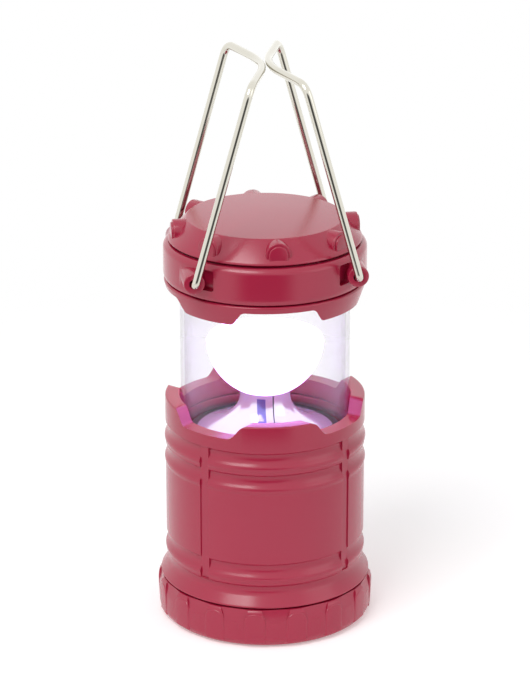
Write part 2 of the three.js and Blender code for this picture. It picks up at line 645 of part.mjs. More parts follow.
// Skirt: a ring whose four tabs match the barrel's notches. A spigot centres the band on it and
// its inner flange holds the tube's top edge and takes the head's screws.
function makeSkirt() {
  const radiusAt = (height) => (
    BARREL_RADIUS - (SKIRT_TAPER * (SKIRT_TOP - height)) / (SKIRT_TOP - TAB_BOTTOM)
  );
  const upper = turned([
    [TUBE_RADIUS + SLIDE_GAP, SKIRT_EDGE],
    [radiusAt(SKIRT_EDGE), SKIRT_EDGE],
    [radiusAt(SKIRT_TOP), SKIRT_TOP],
    [SPIGOT_OUTER, SKIRT_TOP],
    [SPIGOT_OUTER, SKIRT_TOP + SKIRT_SPIGOT],
    [SPIGOT_INNER, SKIRT_TOP + SKIRT_SPIGOT],
    [SPIGOT_INNER, HEAD_FLANGE_TOP],
    [HEAD_FLANGE_INNER, HEAD_FLANGE_TOP],
    [HEAD_FLANGE_INNER, HEAD_FLANGE_Z],
    [TUBE_RADIUS + SLIDE_GAP, HEAD_FLANGE_Z],
    [TUBE_RADIUS + SLIDE_GAP, SKIRT_EDGE],
  ]);
  const lower = turned([
    [TUBE_RADIUS + SLIDE_GAP, TAB_BOTTOM],
    [radiusAt(TAB_BOTTOM), TAB_BOTTOM],
    [radiusAt(SKIRT_EDGE), SKIRT_EDGE],
    [radiusAt(SKIRT_EDGE) - 0.5, SKIRT_EDGE + 0.5],
    [TUBE_RADIUS + SLIDE_GAP, SKIRT_EDGE + 0.5],
    [TUBE_RADIUS + SLIDE_GAP, TAB_BOTTOM],
  ]);
  const tabs = NOTCH_ANGLES.map((angle) => lower.intersect(radialPrism([
    [-NOTCH_FLOOR_HALF + SLIDE_GAP, TAB_BOTTOM - 1],
    [NOTCH_FLOOR_HALF - SLIDE_GAP, TAB_BOTTOM - 1],
    [NOTCH_FLOOR_HALF - SLIDE_GAP, TAB_BOTTOM],
    [NOTCH_MOUTH_HALF - SLIDE_GAP, SKIRT_EDGE],
    [NOTCH_MOUTH_HALF - SLIDE_GAP, SKIRT_EDGE + 2],
    [-NOTCH_MOUTH_HALF + SLIDE_GAP, SKIRT_EDGE + 2],
    [-NOTCH_MOUTH_HALF + SLIDE_GAP, SKIRT_EDGE],
    [-NOTCH_FLOOR_HALF + SLIDE_GAP, TAB_BOTTOM],
  ], CUT_INNER, CUT_OUTER, angle)));
  const holes = HEAD_SCREW_ANGLES.map((angle) => (
    peg(SCREW_HOLE, HEAD_FLANGE_Z - 1, HEAD_FLANGE_TOP + 1, ...polar(HEAD_POST_R, angle), 8)
  ));
  return cutBy(joined([upper, ...tabs]), holes);
}

// Band: a ring with four bosses whose faces look along Y and take the handles' feet, and a
// shallow pocket beside each boss.
const PIVOT_X = BAND_RADIUS - PIVOT_INSET;
const BOSS_FACE = Math.sqrt(BAND_RADIUS ** 2 - PIVOT_X ** 2) + BOSS_STAND_OFF;
const LEG_Y = BOSS_FACE + GAP + Math.max(WIRE_RADIUS, FOOT_BEND);

function makeBand() {
  const shell = turned([
    [BAND_INNER, BAND_BOTTOM],
    [BAND_RADIUS - 0.4, BAND_BOTTOM],
    [BAND_RADIUS, BAND_BOTTOM + BAND_ROUND],
    [BAND_RADIUS, BAND_TOP - BAND_ROUND],
    [BAND_RADIUS - BAND_ROUND, BAND_TOP],
    [BAND_INNER, BAND_TOP],
    [BAND_INNER, BAND_BOTTOM],
  ]);
  const bore = disc(BAND_INNER, BAND_BOTTOM - 5, BAND_TOP + 5, SIDES);
  const bosses = [];
  const holes = [];
  const pockets = [];
  const pocketX = PIVOT_X - BOSS_RADIUS - POCKET_OFFSET;
  const pocketY = Math.sqrt(BAND_RADIUS ** 2 - pocketX ** 2);
  for (const side of [-1, 1]) {
    for (const end of [-1, 1]) {
      const angle = THREE.MathUtils.radToDeg(Math.atan2(end * pocketY, side * pocketX));
      pockets.push(radialBox(
        POCKET_WIDTH,
        BAND_RADIUS - POCKET_DEPTH,
        BAND_RADIUS + 2,
        PIVOT_Z - POCKET_DROP,
        PIVOT_Z + POCKET_RISE,
        angle,
      ));
      const root = end * (BOSS_FACE - BOSS_STAND_OFF - BOSS_ROOT);
      bosses.push(pegAlongY(BOSS_RADIUS, root, end * BOSS_FACE, side * PIVOT_X, PIVOT_Z));
      const holeEnd = end * (BOSS_FACE - FOOT_DEPTH);
      holes.push(pegAlongY(WIRE_RADIUS + GAP, holeEnd, end * (BOSS_FACE + 1), side * PIVOT_X, PIVOT_Z, 12));
    }
  }
  return cutBy(joined([cutBy(shell, pockets), ...bosses]), [bore, ...holes]);
}

// Top cap: a shallow drum with a sloped side, eight arched lugs on the slope, a spigot into the
// band and four screw posts.
function makeTopCap() {
  const discRadius = BARREL_RADIUS - TOP_DISC_INSET;
  const drum = turned([
    [SPIGOT_INNER, TOP_BOTTOM - TOP_SPIGOT],
    [SPIGOT_OUTER, TOP_BOTTOM - TOP_SPIGOT],
    [SPIGOT_OUTER, TOP_BOTTOM],
    [BARREL_RADIUS - TOP_FOOT_INSET, TOP_BOTTOM],
    [BARREL_RADIUS - TOP_FOOT_INSET - 0.2, TOP_BOTTOM + 0.8],
    [discRadius, TOP_Z],
    [0, TOP_Z],
    [0, CEILING_Z],
    [discRadius - 0.9, CEILING_Z],
    [SPIGOT_INNER, TOP_BOTTOM + 1.1],
    [SPIGOT_INNER, TOP_BOTTOM - TOP_SPIGOT],
  ]);
  const lugOuter = BARREL_RADIUS - TOP_LUG_REACH;
  const lugBottom = TOP_BOTTOM + 1.2;
  const outerArch = archShape(TOP_LUG_WIDTH, lugBottom, TOP_Z - 0.1);
  const innerArch = archShape(TOP_LUG_WIDTH - 2 * TOP_LUG_STEP, lugBottom, TOP_Z - 0.1 - TOP_LUG_STEP);
  const lugs = around(TOP_LUG_COUNT).flatMap((angle) => [
    radialPrism(outerArch, discRadius - 0.4, lugOuter - 0.5, angle),
    radialPrism(innerArch, discRadius, lugOuter, angle),
  ]);
  const postBottom = HEAD_FLANGE_TOP + GAP;
  const posts = HEAD_SCREW_ANGLES.map((angle) => (
    peg(POST_RADIUS, postBottom, CEILING_Z + 0.5, ...polar(HEAD_POST_R, angle), 12)
  ));
  const pilots = HEAD_SCREW_ANGLES.map((angle) => (
    peg(SCREW_HOLE, postBottom - 1, postBottom + SCREW_BITE + 1, ...polar(HEAD_POST_R, angle), 8)
  ));
  return cutBy(joined([drum, ...lugs, ...posts]), pilots);
}

// Handle: one steel wire. Its feet turn in the bosses, its legs lean in, and its crossbar bows
// towards the middle, where it meets the other handle's.
function makeHandle(side) {
  const apex = WIRE_RADIUS + GAP / 2 + 0.05;
  const legTop = apex + HANDLE_BULGE;
  const top = PIVOT_Z + HANDLE_RISE;
  const footEnd = BOSS_FACE - FOOT_DEPTH + GAP;
  const half = (end) => [
    new THREE.Vector3(side * PIVOT_X, end * footEnd, PIVOT_Z),
    new THREE.Vector3(side * PIVOT_X, end * LEG_Y, PIVOT_Z),
    new THREE.Vector3(side * legTop, end * LEG_Y, top),
  ];
  const softening = BOW_BEND / (2 * LEG_Y);
  const bowCorner = (apex - legTop * softening) / (1 - softening);
  const bow = new THREE.Vector3(side * bowCorner, 0, top);
  const corners = [...half(-1), bow, ...half(1).reverse()];
  return wire(WIRE_RADIUS, corners, [FOOT_BEND, TOP_BEND, BOW_BEND, TOP_BEND, FOOT_BEND], 64);
}

// Materials
const shellPlastic = { color: '#b23c58', roughness: 0.42, metalness: 0 };
const clearPlastic = { color: '#f2f2f5', roughness: 0.08, metalness: 0, transparent: true, opacity: 0.3 };
const frostedPlastic = { color: '#fdfbf6', roughness: 0.6, metalness: 0 };
const whitePlastic = { color: '#ecebe7', roughness: 0.5, metalness: 0 };
const blackPlastic = { color: '#26272a', roughness: 0.6, metalness: 0 };
const rubber = { color: '#1b1b1c', roughness: 0.85, metalness: 0 };
const plated = { color: '#d9dade', roughness: 0.12, metalness: 1 };
const steel = { color: '#c9c8c2', roughness: 0.25, metalness: 1 };
const brass = { color: '#c8a862', roughness: 0.3, metalness: 1 };
const cellWrap = { color: '#4c5560', roughness: 0.4, metalness: 0 };
const leadRed = { color: '#b5202a', roughness: 0.5, metalness: 0 };
const leadBlack = { color: '#202022', roughness: 0.5, metalness: 0 };

const lantern = new THREE.Group();

function addPart(name, body, look) {
  const mesh = body.getMesh();
  const geometry = new THREE.BufferGeometry();
  geometry.setAttribute('position', new THREE.BufferAttribute(mesh.vertProperties, 3));
  geometry.setIndex(new THREE.BufferAttribute(mesh.triVerts, 1));
  geometry.computeVertexNormals();
  const part = new THREE.Mesh(geometry, new THREE.MeshStandardMaterial(look));
  part.name = name;
  lantern.add(part);
}

// Base
addPart('barrel', makeBarrel(), shellPlastic);
addPart('tube_seal', makeTubeSeal(), rubber);
addPart('cap_seal', makeCapSeal(), rubber);
addPart('contact_rail_left', makeRail(90 + RAIL_TURN), brass);
addPart('contact_rail_right', makeRail(90 - RAIL_TURN), brass);

// Battery core and lamp
addPart('battery_core', makeCore(), blackPlastic);
addPart('cartridge', makeCartridge(), blackPlastic);
addPart('cartridge_disc', disc(CARTRIDGE_RADIUS - 1, CARTRIDGE_CONTACT_Z, CARTRIDGE_Z - GAP), steel);
addPart('cartridge_button', disc(CELL_RADIUS / 2, BUTTON_Z, CORE_CEILING - GAP), brass);
for (let i = 0; i < CELL_COUNT; i += 1) {
  addPart(`cell_${i + 1}`, makeCell(i), cellWrap);
}
CORE_SCREW_ANGLES.forEach((angle, i) => {
  const headTop = FLANGE_Z - GAP;
  const tip = SCREW_BOSS_TOP - 1.2;
  const screw = makeScrew(headTop - SCREW_HEAD_HEIGHT, headTop, tip, CORE_SCREW_R, angle);
  addPart(`core_screw_${i + 1}`, screw, steel);
});
addPart('core_terminal', makeTerminal(), brass);
addPart('lead_positive', makeLead(1), leadRed);
addPart('lead_negative', makeLead(-1), leadBlack);
addPart('reflector_cone', makeCone(), plated);
addPart('led_board', disc(BOARD_RADIUS, BOARD_Z, BOARD_Z + BOARD_THICKNESS), whitePlastic);
around(LED_COUNT, 90).forEach((angle, i) => addPart(`led_${i + 1}`, makeLed(angle), frostedPlastic));
addPart('diffuser_bowl', makeBowl(), frostedPlastic);
const lid = disc(BOWL_RADIUS - LID_INSET, LID_TOP - LID_THICKNESS, LID_TOP, MEDIUM);
addPart('diffuser_lid', lid, whitePlastic);

// Base cap
addPart('base_cap', makeBaseCap(), shellPlastic);
addPart('cap_contact', disc(CORE_INNER - 2, CAP_CONTACT_Z, CAP_CONTACT_Z + CONTACT_THICKNESS), steel);
addPart('cap_spring', makeCapSpring(), steel);

// Head
addPart('clear_tube', ring(TUBE_INNER, TUBE_RADIUS, TUBE_BOTTOM, TUBE_TOP), clearPlastic);
const stopRing = ring(TUBE_RADIUS + GAP, STOP_OUTER, TUBE_BOTTOM, TUBE_BOTTOM + STOP_HEIGHT);
addPart('tube_stop_ring', stopRing, blackPlastic);
addPart('contact_bridge', makeBridge(), brass);
addPart('head_skirt', makeSkirt(), shellPlastic);
addPart('head_band', makeBand(), shellPlastic);
addPart('top_cap', makeTopCap(), shellPlastic);
const liner = disc(HEAD_FLANGE_INNER - LINER_INSET, LINER_BOTTOM, CEILING_Z - GAP, MEDIUM);
addPart('ceiling_reflector', liner, whitePlastic);
HEAD_SCREW_ANGLES.forEach((angle, i) => {
  const headTop = HEAD_FLANGE_Z - GAP;
  const tip = HEAD_FLANGE_TOP + GAP + SCREW_BITE;
  const screw = makeScrew(headTop - SCREW_HEAD_HEIGHT, headTop, tip, HEAD_POST_R, angle);
  addPart(`head_screw_${i + 1}`, screw, steel);
});

// Handles
addPart('handle_left', makeHandle(-1), steel);
addPart('handle_right', makeHandle(1), steel);

export default lantern;
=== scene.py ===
# A pull-up camping lantern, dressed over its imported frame. Each section below is one piece or a
# group of like pieces, from the barrel up to the handles, and the studio comes last.

import math

import bmesh
import bpy
from mathutils import Matrix, Vector


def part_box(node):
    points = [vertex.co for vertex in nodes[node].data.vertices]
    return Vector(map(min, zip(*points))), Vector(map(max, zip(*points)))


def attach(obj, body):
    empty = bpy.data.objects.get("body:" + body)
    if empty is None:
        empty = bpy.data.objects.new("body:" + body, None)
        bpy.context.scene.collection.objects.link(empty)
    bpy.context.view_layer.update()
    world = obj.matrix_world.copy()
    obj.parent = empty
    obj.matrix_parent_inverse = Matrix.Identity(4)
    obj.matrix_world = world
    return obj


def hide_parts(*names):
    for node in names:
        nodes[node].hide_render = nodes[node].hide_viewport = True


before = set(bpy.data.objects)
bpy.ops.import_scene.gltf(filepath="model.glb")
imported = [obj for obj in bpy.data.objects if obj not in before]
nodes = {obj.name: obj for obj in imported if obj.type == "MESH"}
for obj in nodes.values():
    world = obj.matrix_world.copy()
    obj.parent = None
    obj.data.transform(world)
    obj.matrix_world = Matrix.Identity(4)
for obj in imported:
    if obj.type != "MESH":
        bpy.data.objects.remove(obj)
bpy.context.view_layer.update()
MM = 0.001

# ---------------------------------------------------------------------------------------------
# Barrel. One injection moulding in raspberry ABS: a thick-rimmed tube with four notches, two
# pairs of ring grooves broken by four plain strips, and a flared foot over the base cap's seam.
# ---------------------------------------------------------------------------------------------


def clear_selection():
    """Object mode with nothing selected, so that the next operator acts on its own piece."""
    if bpy.context.object and bpy.context.object.mode != "OBJECT":
        bpy.ops.object.mode_set(mode="OBJECT")
    bpy.ops.object.select_all(action="DESELECT")


def work_on(piece):
    """Makes one piece the only selected object and the active one."""
    clear_selection()
    piece.select_set(True)
    bpy.context.view_layer.objects.active = piece


def soften(corners, segments=4):
    """Corners (radius, height, rounding) as a closed outline whose corners are small arcs."""
    outline = []
    for i, (radius, height, rounding) in enumerate(corners):
        here = Vector((radius, height))
        if not rounding:
            outline.append(here)
            continue
        back = Vector(corners[i - 1][:2]) - here
        ahead = Vector(corners[(i + 1) % len(corners)][:2]) - here
        reach = min(rounding, back.length * 0.49, ahead.length * 0.49)
        start = here + back.normalized() * reach
        end = here + ahead.normalized() * reach
        for k in range(segments + 1):
            t = k / segments
            outline.append(start * (1 - t) ** 2 + here * 2 * t * (1 - t) + end * t * t)
    return outline + outline[:1]


def draw_chain(name, places):
    """Draws a chain of edges through places in millimetres and stays in edit mode."""
    clear_selection()
    bpy.ops.mesh.primitive_plane_add(size=MM)
    piece = bpy.context.object
    piece.name = name
    bpy.ops.object.mode_set(mode="EDIT")
    bpy.ops.mesh.select_mode(type="VERT")
    bpy.ops.mesh.select_all(action="SELECT")
    bpy.ops.mesh.merge(type="CENTER")
    here = Vector((0, 0, 0))
    for i, there in enumerate(Vector(place) * MM for place in places):
        if i == 0:
            bpy.ops.transform.translate(value=there)
        else:
            bpy.ops.mesh.extrude_vertices_move(TRANSFORM_OT_translate={"value": there - here})
        here = there
    bpy.ops.mesh.select_all(action="SELECT")
    return piece


def spin_outline(name, outline, steps=192):
    """Spins an outline of (radius, height) points about the upright axis."""
    piece = draw_chain(name, [(radius, 0, height) for radius, height in outline])
    bpy.ops.mesh.spin(steps=steps, angle=math.tau, center=(0, 0, 0), axis=(0, 0, 1))
    bpy.ops.mesh.select_all(action="SELECT")
    bpy.ops.mesh.remove_doubles(threshold=MM / 500)
    bpy.ops.mesh.normals_make_consistent(inside=False)
    bpy.ops.object.mode_set(mode="OBJECT")
    bpy.ops.object.transform_apply(location=True, rotation=True, scale=True)
    return piece


def pick_edges(piece, test):
    """Selects, in edit mode, the edges whose two ends and middle pass the test."""
    bpy.ops.mesh.select_mode(type="EDGE")
    bpy.ops.mesh.select_all(action="DESELECT")
    cage = bmesh.from_edit_mesh(piece.data)
    for edge in cage.edges:
        edge.select_set(test(*[v.co for v in edge.verts]))
    bmesh.update_edit_mesh(piece.data)


def block(name, lowest, highest):
    """A plain block between two corners given in millimetres, to be shaped further."""
    clear_selection()
    middle = [(a + b) / 2 * MM for a, b in zip(lowest, highest)]
    bpy.ops.mesh.primitive_cube_add(size=MM, location=middle)
    piece = bpy.context.object
    piece.name = name
    piece.scale = [b - a for a, b in zip(lowest, highest)]
    bpy.ops.object.transform_apply(location=True, rotation=True, scale=True)
    return piece


def prism(name, outline, inner, outer):
    """Pushes an upright outline of (across, height) points outwards along X between two radii."""
    piece = draw_chain(name, [(inner, across, height) for across, height in outline])
    bpy.ops.mesh.edge_face_add()
    bpy.ops.mesh.extrude_region_move(TRANSFORM_OT_translate={"value": ((outer - inner) * MM, 0, 0)})
    bpy.ops.mesh.select_all(action="SELECT")
    bpy.ops.mesh.normals_make_consistent(inside=False)
    bpy.ops.object.mode_set(mode="OBJECT")
    bpy.ops.object.transform_apply(location=True, rotation=True, scale=True)
    return piece


def bevel_edges(piece, test, width, segments=3):
    """Rounds the edges of a piece that pass the test, by a width in millimetres."""
    work_on(piece)
    bpy.ops.object.mode_set(mode="EDIT")
    pick_edges(piece, test)
    bpy.ops.mesh.bevel(offset=width * MM, segments=segments, profile=0.5, clamp_overlap=True)
    bpy.ops.object.mode_set(mode="OBJECT")


def turned_copy(piece, angle):
    """A copy of a piece with its own mesh, turned about the upright axis."""
    work_on(piece)
    bpy.ops.object.duplicate(linked=False)
    copy = bpy.context.object
    copy.data.transform(Matrix.Rotation(math.radians(angle), 4, "Z"))
    return copy


def ring_of(piece, count, first=0):
    """The piece and its copies, evenly spaced about the axis, as a list."""
    copies = [turned_copy(piece, first + 360 / count * i) for i in range(count)]
    bpy.data.objects.remove(piece)
    return copies


def fuse(piece, parts, operation="UNION"):
    """Joins the parts onto a piece, or cuts them out of it, and removes them."""
    for part in parts:
        work_on(piece)
        tool = piece.modifiers.new("fuse", "BOOLEAN")
        tool.operation = operation
        tool.solver = "EXACT"
        tool.object = part
        bpy.ops.object.modifier_apply(modifier=tool.name)
        bpy.data.objects.remove(part)
    return piece


def finish_piece(piece, material, body, slot, *replaced, angle=40):
    """Smooths a piece, gives it its finish, and hangs it on its body in place of its CAD nodes."""
    work_on(piece)
    bpy.ops.object.shade_smooth_by_angle(angle=math.radians(angle))
    piece.data.materials.clear()
    piece.data.materials.append(material)
    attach(piece, body)
    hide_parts(*replaced)
    return piece


def linear(colour):
    """An sRGB hex colour as linear red, green, blue and alpha."""
    channels = [int(colour[i:i + 2], 16) / 255 for i in (1, 3, 5)]
    return tuple(c / 12.92 if c <= 0.04045 else ((c + 0.055) / 1.055) ** 2.4 for c in channels) + (1.0,)


def start_material(name):
    """A new material with an empty tree but for its output."""
    material = bpy.data.materials.new(name)
    material.use_nodes = True
    tree = material.node_tree
    tree.nodes.clear()
    return material, tree


def add_node(tree, kind, settings=None, **sockets):
    """Adds a node with its settings. A socket is given a value or another node's output."""
    node = tree.nodes.new(kind)
    for name, value in (settings or {}).items():
        setattr(node, name, value)
    for name, value in sockets.items():
        socket = next(s for s in node.inputs if s.name.replace(" ", "_") == name and s.enabled)
        if isinstance(value, bpy.types.NodeSocket):
            tree.links.new(value, socket)
        else:
            socket.default_value = value
    return node


def make_shell_plastic():
    """Moulded ABS, satin from the tool's fine spark texture, with a faint mottle in its depth."""
    material, tree = start_material("moulded_abs_raspberry")
    place = add_node(tree, "ShaderNodeTexCoord").outputs["Object"]
    cloud = add_node(tree, "ShaderNodeTexNoise", Vector=place, Scale=1 / (14 * MM), Detail=3.0)
    grain = add_node(tree, "ShaderNodeTexNoise", Vector=place, Scale=1 / (0.35 * MM), Detail=2.0)
    colour = add_node(tree, "ShaderNodeMix", {"data_type": "RGBA"}, Factor=cloud.outputs["Fac"])
    colour.inputs[6].default_value = linear("#a1183b")
    colour.inputs[7].default_value = linear("#a51a3d")
    gloss = add_node(tree, "ShaderNodeMapRange", Value=cloud.outputs["Fac"], To_Min=0.2, To_Max=0.26)
    relief = add_node(tree, "ShaderNodeBump", Strength=0.03, Distance=0.02 * MM, Height=grain.outputs["Fac"])
    surface = add_node(
        tree, "ShaderNodeBsdfPrincipled", Base_Color=colour.outputs[2], Roughness=gloss.outputs["Result"],
        IOR=1.54, Normal=relief.outputs["Normal"], Subsurface_Weight=0.1, Subsurface_Scale=1.2 * MM,
    )
    surface.inputs["Subsurface Radius"].default_value = (1.0, 0.25, 0.3)
    add_node(tree, "ShaderNodeOutputMaterial", Surface=surface.outputs[0])
    return material


shell_plastic = make_shell_plastic()


def corners_of(node):
    """The lowest and highest corners of a node at rest, in millimetres."""
    return [Vector(corner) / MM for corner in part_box(node)]


barrel_low, barrel_high = corners_of("barrel")
cap_high = corners_of("base_cap")[1]
tube_low, tube_high = corners_of("clear_tube")
seam_gap = 0.4
flare = 1.65
neck_step = 0.7
neck_wall = 1.7
barrel_wall = 1.8
tube_clearance = 0.35
barrel_radius = barrel_high.x - flare
barrel_foot = cap_high.z + seam_gap
rim = barrel_high.z
neck_outer = barrel_radius - neck_step
neck_inner = neck_outer - neck_wall
wall_inner = barrel_radius - barrel_wall
collar_inner = tube_high.x + tube_clearance
collar_depth = 9.3
notch_depth = 4.2
groove_proud = 0.28
groove_hollow = 0.85


def groove_corners(top):
    """One groove from below: a proud ring, a hollow, and the crisp edge that closes it above."""
    return [
        (barrel_radius, top - 6.0, 0.5),
        (barrel_radius + groove_proud, top - 5.2, 0.6),
        (barrel_radius + groove_proud, top - 4.3, 0.7),
        (barrel_radius - groove_hollow, top - 2.7, 1.2),
        (barrel_radius - groove_hollow, top - 0.55, 0.5),
        (barrel_radius, top, 0.14),
    ]


low_groove = barrel_foot + 13.2
high_groove = rim - 7.9
groove_pitch = 6.6
barrel = spin_outline("barrel_shell", soften([
    (neck_inner, barrel_low.z, 0.2),
    (neck_outer, barrel_low.z, 0.3),
    (neck_outer, barrel_foot, 0.15),
    (barrel_radius + flare - 0.5, barrel_foot, 0.1),
    (barrel_radius + flare, barrel_foot + 0.25, 0.2),
    (barrel_radius + flare, barrel_foot + 0.6, 0.3),
    *groove_corners(low_groove - groove_pitch)[3:],
    *groove_corners(low_groove),
    *groove_corners(high_groove - groove_pitch),
    *groove_corners(high_groove),
    (barrel_radius, rim, 0.55),
    (collar_inner, rim, 0.45),
    (collar_inner, rim - collar_depth, 0.2),
    (wall_inner, rim - collar_depth, 0.2),
    (wall_inner, barrel_foot + 1, 0.2),
    (neck_inner, barrel_foot, 0.2),
]), steps=240)

notch_floor = rim - notch_depth
floor_half = 8.6
rim_half = 11.7
cutter_half = 15
cut_from = 20
cut_to = 34
notch = prism("notch", soften([
    (-floor_half, notch_floor, 1.1),
    (floor_half, notch_floor, 1.1),
    (rim_half, rim, 1.7),
    (cutter_half, rim + 0.35, 0),
    (cutter_half, rim + 3, 0),
    (-cutter_half, rim + 3, 0),
    (-cutter_half, rim + 0.35, 0),
    (-rim_half, rim, 1.7),
], 6)[:-1], cut_from, cut_to)
fuse(barrel, ring_of(notch, 4, 45), "DIFFERENCE")

strip_half = 1.4
strip_face = barrel_radius - 0.34
strip_root = 27.5
strip_foot = low_groove - groove_pitch + 0.1
strip = block("strip", (strip_root, -strip_half, strip_foot), (strip_face, strip_half, high_groove - 0.1))
fuse(barrel, ring_of(strip, 4, 45))
channel_out = 31
channel = block(
    "channel", (strip_face - 0.02, -strip_half, strip_foot), (channel_out, strip_half, high_groove - 0.3),
)
fuse(barrel, ring_of(channel, 4, 45), "DIFFERENCE")
finish_piece(barrel, shell_plastic, "base", "shell", "barrel")

# ---------------------------------------------------------------------------------------------
# Base cap. A shallow ABS cup, twisted onto the barrel's neck by its bayonet. Sixteen arched
# grip ribs stand out of its wall, which is chamfered between them below the seam.
# ---------------------------------------------------------------------------------------------

cap_radius = cap_high.x
rib_height = 0.26
rib_count = 16
rib_first = 9
valley = cap_radius - rib_height
cap_top = cap_high.z
seam_radius = barrel_radius + flare
recess_radius = cap_radius - 12
recess_depth = 0.6
cap_bore = cap_radius - 2.4
cap_floor = 2.0
base_cap = spin_outline("base_cap_shell", soften([
    (0, recess_depth, 0),
    (recess_radius, recess_depth, 0.2),
    (recess_radius - 0.6, 0, 0.2),
    (cap_bore, 0, 0.5),
    (cap_radius - 1.1, 0.6, 0.7),
    (valley, 2.2, 0.8),
    (valley, cap_top - 0.9, 0.7),
    (seam_radius, cap_top, 0.35),
    (cap_bore, cap_top, 0.1),
    (cap_bore, cap_floor, 0.3),
    (0, cap_floor, 0),
])[:-1], steps=240)

rib_top = cap_top - 1.0
rib_foot = 1.6
rib_half = 3.1
rib_crown = 2.4
rib_face = (cap_radius - 1) * MM
rib_arch = [math.pi / 16 * k for k in range(17)]
rib = prism("rib", [(-rib_half, rib_foot), (rib_half, rib_foot)] + [
    (rib_half * math.cos(a), rib_top - rib_crown + rib_crown * math.sin(a)) for a in rib_arch
], cap_radius - 2, cap_radius - 0.1)
for vertex in rib.data.vertices:
    if vertex.co.x > rib_face and vertex.co.z < cap_floor * MM:
        vertex.co.x -= rib_height * MM
bevel_edges(rib, lambda a, b: min(a.x, b.x) > rib_face and max(a.z, b.z) > cap_floor * MM, 0.4, 4)
fuse(base_cap, ring_of(rib, rib_count, rib_first))

facet_foot = cap_top - 3.7
facet_low_half = 2.7
facet_high_half = 4.3
facet_head = cap_top + 0.4
facet = prism("facet", [
    (-facet_low_half, facet_foot), (facet_low_half, facet_foot),
    (facet_high_half, facet_head), (-facet_high_half, facet_head),
], valley - 0.03, valley + 2)
for vertex in facet.data.vertices:
    if vertex.co.x < valley * MM and vertex.co.z > cap_top * MM:
        vertex.co.x = (seam_radius - 0.4) * MM
fuse(base_cap, ring_of(facet, rib_count, rib_first + 180 / rib_count), "DIFFERENCE")
finish_piece(base_cap, shell_plastic, "base_cap", "shell", "base_cap")

# ---------------------------------------------------------------------------------------------
# Clear tube. Extruded polycarbonate, polished inside and out, pressed up into the head's skirt.
# Light passes straight through it, and only its edges and its gloss show. An ABS ring round its
# foot stops it from pulling out of the barrel.
# ---------------------------------------------------------------------------------------------

tube_wall = 1.2


def make_clear_tube():
    """Polished clear polycarbonate: a faint pale veil that thickens where it is seen edge on. The veil's pale
    colour is a painted reflection of the white surround, and at the very edge it turns to a painted dark
    shade line.
    """
    material, tree = start_material("polished_clear_polycarbonate")
    edge = add_node(tree, "ShaderNodeLayerWeight", Blend=0.1)
    veil = add_node(tree, "ShaderNodeMapRange", Value=edge.outputs["Facing"], To_Min=0.004, To_Max=0.8)
    # Painted shade: where the tube is seen edge on, its colour turns dark and draws its edges as shaded
    # lines.
    depth = add_node(tree, "ShaderNodeMapRange", Value=edge.outputs["Facing"], From_Min=0.14, From_Max=0.3)
    # Painted light: the pale colour stands in for the white surround reflected in the tube, and the dark one
    # for the shade along its edges.
    painted_veil_and_edge_shade = add_node(tree, "ShaderNodeMix", {"data_type": "RGBA"}, Factor=depth.outputs["Result"])
    painted_veil_and_edge_shade.inputs[6].default_value = linear("#cbc9d0")
    painted_veil_and_edge_shade.inputs[7].default_value = linear("#6c5a70")
    surface = add_node(
        tree, "ShaderNodeBsdfPrincipled", Base_Color=painted_veil_and_edge_shade.outputs[2], Roughness=0.04, IOR=1.49,
        Alpha=veil.outputs["Result"],
    )
    add_node(tree, "ShaderNodeOutputMaterial", Surface=surface.outputs[0])
    return material


clear_tube = spin_outline("clear_tube_shell", soften([
    (tube_high.x - tube_wall, tube_low.z, 0.2),
    (tube_high.x, tube_low.z, 0.2),
    (tube_high.x, tube_high.z, 0.2),
    (tube_high.x - tube_wall, tube_high.z, 0.2),
], 2), steps=192)
finish_piece(clear_tube, make_clear_tube(), "head", "clear", "clear_tube")

stop_low, stop_high = corners_of("tube_stop_ring")
stop_inner = tube_high.x + 0.32
stop_ring = spin_outline("tube_stop_ring_shell", soften([
    (stop_inner, stop_low.z, 0.2),
    (stop_high.x, stop_low.z, 0.3),
    (stop_high.x, stop_high.z, 0.4),
    (stop_inner, stop_high.z, 0.3),
], 3), steps=192)
finish_piece(stop_ring, shell_plastic, "head", "shell", "tube_stop_ring")

# ---------------------------------------------------------------------------------------------
# Lamp. A plated cone stands on the battery core and carries a frosted bowl with a lid. The bowl
# glows evenly from the lamps on the board under it, below a white disc fixed in the head.
# ---------------------------------------------------------------------------------------------


def make_frosted_bowl():
    """Frosted polycarbonate lit from inside: it glows white and even, so its form hardly shades."""
    material, tree = start_material("frosted_polycarbonate_lit")
    surface = add_node(
        tree, "ShaderNodeBsdfPrincipled", Base_Color=linear("#fffdf8"), Roughness=0.5,
        Emission_Color=linear("#c9a2ff"), Emission_Strength=4.4,
    )
    add_node(tree, "ShaderNodeOutputMaterial", Surface=surface.outputs[0])
    return material


def near_place(tree, place, middle, reach):
    """Gives 1 where a coordinate lies within a reach of the middle, both in millimetres."""
    near = add_node(tree, "ShaderNodeMath", {"operation": "COMPARE"})
    tree.links.new(place, near.inputs[0])
    near.inputs[1].default_value = middle * MM
    near.inputs[2].default_value = reach * MM
    return near.outputs[0]


def front_mark(tree, spread, across, half_width, foot, head):
    """Gives 1 inside an upright mark on the front, between two heights in millimetres."""
    mark = near_place(tree, spread.outputs["X"], across, half_width)
    for axis, low, high in (("Z", foot, head), ("Y", -38, -2)):
        within = near_place(tree, spread.outputs[axis], (low + high) / 2, (high - low) / 2)
        product = add_node(tree, "ShaderNodeMath", {"operation": "MULTIPLY"})
        tree.links.new(mark, product.inputs[0])
        tree.links.new(within, product.inputs[1])
        mark = product.outputs[0]
    return mark


